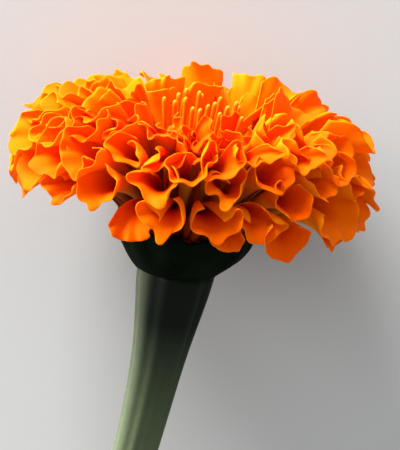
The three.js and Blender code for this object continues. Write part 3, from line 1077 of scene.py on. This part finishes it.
class MARIGOLD_OT_cup(bpy.types.Operator):
    """Builds the cup of fused bracts with its ribs and toothed rim"""

    bl_idname = "marigold.cup"
    bl_label = "Cup of Bracts"

    def execute(self, context):
        scene = context.scene
        heights = np.linspace(CUP_PROFILE[0][1], CUP_PROFILE[-1][1], CUP_ROWS)
        radii = np.interp(heights, [z for _, z in CUP_PROFILE], [r for r, _ in CUP_PROFILE])
        radii = np.pad(radii, CUP_SMOOTHING // 2, mode="reflect", reflect_type="odd")
        radii = running_mean(radii, np.hanning(CUP_SMOOTHING + 2)[1:-1])
        outside = list(zip(radii, heights))
        inside = [(r - CUP_WALL, z + CUP_BEND_INSIDE) for r, z in reversed(outside)]
        rings = [(radii[0] - CUP_WALL, heights[0])] + outside + inside
        rib = scene.marigold_sizes.rib_height / MM / CUP_RADIUS

        def ribs(angle, row):
            if not 1 <= row <= CUP_ROWS:
                return 1
            share = (row - 1) / (CUP_ROWS - 1)
            return 1 + rib * math.cos(CUP_TEETH * angle) * (CUP_RIB_START + share)

        cup = lathe("involucre_cup", rings, CUP_SIDES, ribs, loop=True)
        points = coordinates(cup)
        angle = np.arctan2(points[:, 1], points[:, 0])
        tooth = 1 - np.abs(np.mod(angle * CUP_TEETH / math.pi + 1, 2) - 1)
        teeth = rise(points[:, 2], heights[-1 - TOOTH_ROWS], heights[-1])
        slant = 1 - rise(points[:, 2], heights[0], heights[0] + CUP_SLANT_HEIGHT)
        points[:, 2] += teeth * (TOOTH_HEIGHT * tooth - TOOTH_SINK)
        points[:, 2] += slant * CUP_SLANT * points[:, 0]
        set_coordinates(cup, lay_down(points))
        face_outwards(cup)
        cup.data.materials.append(material("cup skin", cup_finish, scene.marigold_colours))
        finished(cup, "cup", "involucre")
        return {"FINISHED"}


class MARIGOLD_OT_stem(bpy.types.Operator):
    """Builds the ridged stem with the receptacle at its top"""

    bl_idname = "marigold.stem"
    bl_label = "Stem"

    def execute(self, context):
        scene = context.scene
        depth = scene.marigold_sizes.ridge_depth
        reach, cut_radius = STEM_PROFILE[-1]
        stations = np.linspace(reach, STEM_BEND_START, STEM_ROWS)
        below = np.array(STEM_PROFILE[INSIDE_ROWS:])
        radii = np.interp(stations, below[:, 0], below[:, 1])
        radii = running_mean(np.pad(radii, STEM_SMOOTHING // 2, mode="edge"), np.ones(STEM_SMOOTHING))
        rings = [CUT_MIDDLE] + [(cut_radius * share, height) for share, height in CUT_EDGE]
        rings += [(r, reach - s) for r, s in zip(radii, stations)]
        ridged = len(rings)
        rings += [(r, reach - s) for s, r in reversed(STEM_PROFILE[:INSIDE_ROWS])]
        top = [share * RECEPTACLE_RADIUS for share in RECEPTACLE_SHARES]
        rings += [(radius, reach + receptacle_z(radius)) for radius in top]

        def ridges(angle, row):
            if not len(CUT_EDGE) <= row < ridged:
                return 1
            share = row / ridged
            twists = (RIDGE_SWAY * math.sin(RIDGE_BENDS * share), RIDGE_TWIST - share)
            wave = 0
            for (count, size), twist in zip(STEM_WAVES, twists):
                wave += size * math.cos(count * angle + twist)
            return 1 + depth * wave

        stem = lathe("stem_with_receptacle", rings, STEM_SIDES, ridges)
        points = coordinates(stem)
        radius = np.hypot(points[:, 0], points[:, 1])
        length = reach - STEM_BEND_START
        along = np.maximum(points[:, 2] / length, 0)
        outline = rings[len(CUT_EDGE) : ridged]
        plain = np.interp(points[:, 2], [z for _, z in outline], [r for r, _ in outline])
        ridge = rise(radius / plain, 1 - depth, 1 + depth)
        pith = (points[:, 2] < CUT_DEPTH) & (radius < CUT_FACE * cut_radius)
        side = rise(points[:, 0] / radius, *LIT_SIDE)
        # Shares: how far up, how near a crest, whether it is pith, and how near the side with painted
        # light.
        set_zone(stem, np.stack([along, ridge, pith, side], axis=-1))
        set_coordinates(stem, points[:, [0, 2, 1]])
        lift = cut_radius - (HEAD_CENTRE.z - reach * math.sin(AXIS_TILT)) / math.cos(AXIS_TILT)
        values = {
            "Foot": (-STEM_SIDE_BEND, -lift, -reach), "Turn": (0, 0, -(reach + STEM_BEND_START) / 2),
            "Mouth": (0, 0, -STEM_BEND_START), "Sideways": (1, 0, 0), "Length": length,
            "Finish": material("stem skin", stem_finish, scene.marigold_colours),
        }
        applied(stem, follow_tree(), values)
        points = lay_down(coordinates(stem))
        points[:, 2] = np.maximum(points[:, 2], 0)
        set_coordinates(stem, points)
        face_outwards(stem)
        finished(stem, "stem", "stem")
        return {"FINISHED"}


class MARIGOLD_OT_stage(bpy.types.Operator):
    """Sets out the pale surface, the soft lights and the camera that looks down on the flower"""

    bl_idname = "marigold.stage"
    bl_label = "Stage"

    def execute(self, context):
        scene = context.scene
        size = SURFACE_HALF
        corners = [(-size, -size, 0), (size, -size, 0), (size, size, 0), (-size, size, 0)]
        floor = mesh_object("surface", corners, [range(len(corners))])
        floor.data.materials.append(material("pale surface", surface_finish, scene.marigold_colours))

        world = bpy.data.worlds.new("soft sky")
        world.use_nodes = True
        for name, value in SKY.items():
            world.node_tree.nodes["Background"].inputs[name].default_value = value
        scene.world = world
        scene.view_settings.view_transform = "Standard"

        head = HEAD_CENTRE * MM
        for name, place, power, width in LIGHTS:
            light = bpy.data.lights.new(name, "AREA")
            light.energy = power
            light.size = width
            lamp = bpy.data.objects.new(name, light)
            lamp.location = place
            lamp.rotation_euler = (head - Vector(place)).to_track_quat("-Z", "Y").to_euler()
            context.collection.objects.link(lamp)

        # The camera looks straight down, with the head at the top of the picture and leaning right.
        up = Vector((math.sin(VIEW_LEAN), -math.cos(VIEW_LEAN), 0))
        right = Vector((-math.cos(VIEW_LEAN), -math.sin(VIEW_LEAN), 0))
        middle = head - right * HEAD_IN_VIEW[0] - up * HEAD_IN_VIEW[1]
        camera = bpy.data.cameras.new("camera")
        camera.sensor_fit = "HORIZONTAL"
        camera.lens = camera.sensor_width * CAMERA_DISTANCE / VIEW_WIDTH
        eye = bpy.data.objects.new("camera", camera)
        turn = Matrix((right, up, Vector((0, 0, 1)))).transposed().to_4x4()
        eye.matrix_world = Matrix.Translation(middle + Vector((0, 0, CAMERA_DISTANCE))) @ turn
        context.collection.objects.link(eye)
        scene.camera = eye
        return {"FINISHED"}


OPERATORS = (
    MARIGOLD_OT_stem,
    MARIGOLD_OT_cup,
    MARIGOLD_OT_ray_florets,
    MARIGOLD_OT_inner_florets,
    MARIGOLD_OT_disc_florets,
    MARIGOLD_OT_stage,
)


class MARIGOLD_PT_panel(bpy.types.Panel):
    """Lists the sizes, the colours and the steps of the flower"""

    bl_idname = "MARIGOLD_PT_panel"
    bl_label = "Marigold"
    bl_space_type = "VIEW_3D"
    bl_region_type = "UI"
    bl_category = "Marigold"

    def draw(self, context):
        for settings in (context.scene.marigold_sizes, context.scene.marigold_colours):
            column = self.layout.column()
            for name in settings.__annotations__:
                column.prop(settings, name)
        for operator in OPERATORS:
            self.layout.operator(operator.bl_idname)


CLASSES = (MarigoldSizes, MarigoldColours, *OPERATORS, MARIGOLD_PT_panel)


def register():
    for each in CLASSES:
        bpy.utils.register_class(each)
    bpy.types.Scene.marigold_sizes = bpy.props.PointerProperty(type=MarigoldSizes)
    bpy.types.Scene.marigold_colours = bpy.props.PointerProperty(type=MarigoldColours)


def unregister():
    del bpy.types.Scene.marigold_colours
    del bpy.types.Scene.marigold_sizes
    for each in reversed(CLASSES):
        bpy.utils.unregister_class(each)


def main():
    register()
    bpy.ops.marigold.stem()
    bpy.ops.marigold.cup()
    bpy.ops.marigold.ray_florets()
    bpy.ops.marigold.inner_florets()
    bpy.ops.marigold.disc_florets()
    bpy.ops.marigold.stage()


if __name__ == "__main__":
    main()
